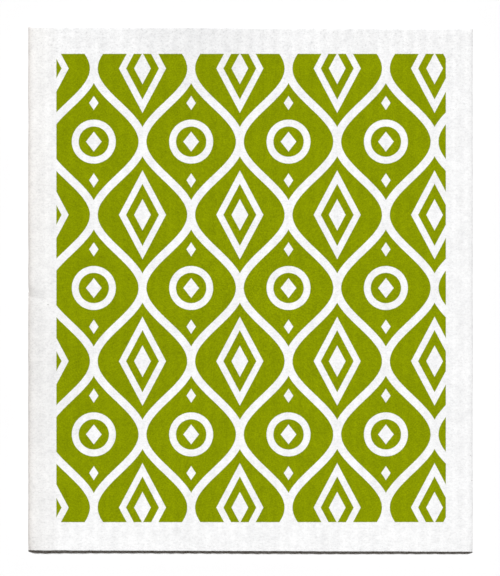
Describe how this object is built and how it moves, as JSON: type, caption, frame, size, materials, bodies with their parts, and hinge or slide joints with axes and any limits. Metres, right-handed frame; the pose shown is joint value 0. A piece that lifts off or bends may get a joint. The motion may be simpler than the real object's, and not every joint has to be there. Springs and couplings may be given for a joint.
{
  "type": "sponge cloth",
  "caption": "Flat rectangular cellulose sponge dishcloth with embossed ribs along its length and a green printed lattice on one face.",
  "frame": {"origin": "middle of the underside, on the surface that the cloth lies on", "axes": "+X across the width, to the right as the print is seen; +Y up the length; +Z out of the printed face"},
  "size_m": [0.17, 0.2, 0.002],
  "materials": {
    "printed_cloth": "matt off-white cellulose and cotton sponge sheet, dry, with a flat olive-green print on the upper face only"
  },
  "bodies": {
    "root": {"sponge_cloth": "printed_cloth"}
  },
  "joints": []
}
